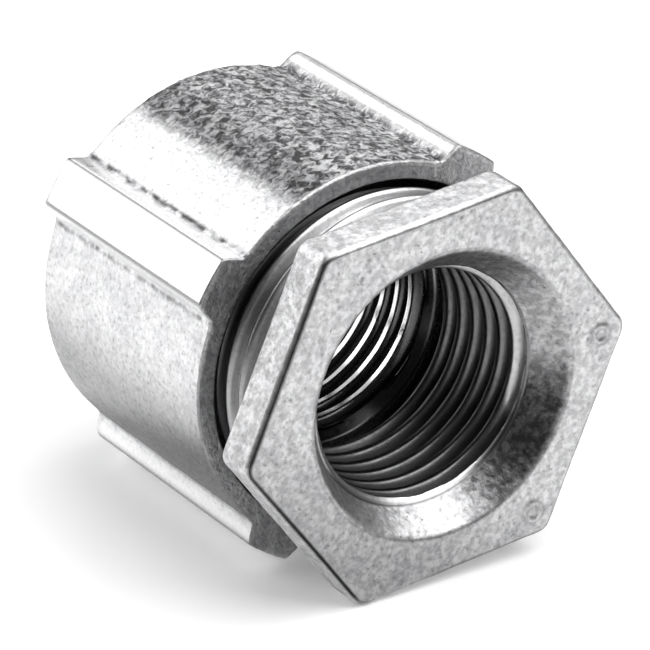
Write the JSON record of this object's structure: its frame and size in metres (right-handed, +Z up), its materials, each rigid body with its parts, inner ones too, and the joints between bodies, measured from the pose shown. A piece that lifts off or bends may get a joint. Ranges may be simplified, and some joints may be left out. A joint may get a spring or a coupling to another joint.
{
  "type": "three-piece conduit coupling",
  "caption": "Three-piece union coupling for threaded rigid conduit: hexagon hub, ribbed ring nut and threaded rear hub.",
  "frame": {"origin": "on the conduit axis, where the front conduit thread begins behind the hexagon's cast mouth", "axes": "+X along the conduit axis out of the hexagon end, +Z up with the coupling lying on its side"},
  "size_m": [0.0361, 0.034, 0.0318],
  "materials": {
    "zinc_cast_hub": "zinc plated malleable iron casting, fine sand texture, bright",
    "zinc_cast_ring": "zinc plated malleable iron casting, coarse sand texture, bright",
    "zinc_machined": "zinc plated malleable iron, machined threads"
  },
  "bodies": {
    "hex_hub": {"hex_hub": "zinc_cast_hub"},
    "rear_hub": {"rear_hub": "zinc_machined"},
    "ring_nut": {"ring_nut": "zinc_cast_ring"}
  },
  "joints": [
    {"name": "rear_hub_slide", "type": "slide", "parent": "hex_hub", "child": "rear_hub", "axis": [-1, 0, 0], "range_m": [0, 0.0055]},
    {"name": "ring_turn", "type": "hinge", "parent": "rear_hub", "child": "ring_nut", "pos_m": [0, 0, 0], "axis": [-1, 0, 0], "range_deg": [0, 1080]}
  ],
  "couplings": [
    {"joint": "rear_hub_slide", "follows": "ring_turn", "m_per_rad": 0.00028871}
  ]
}
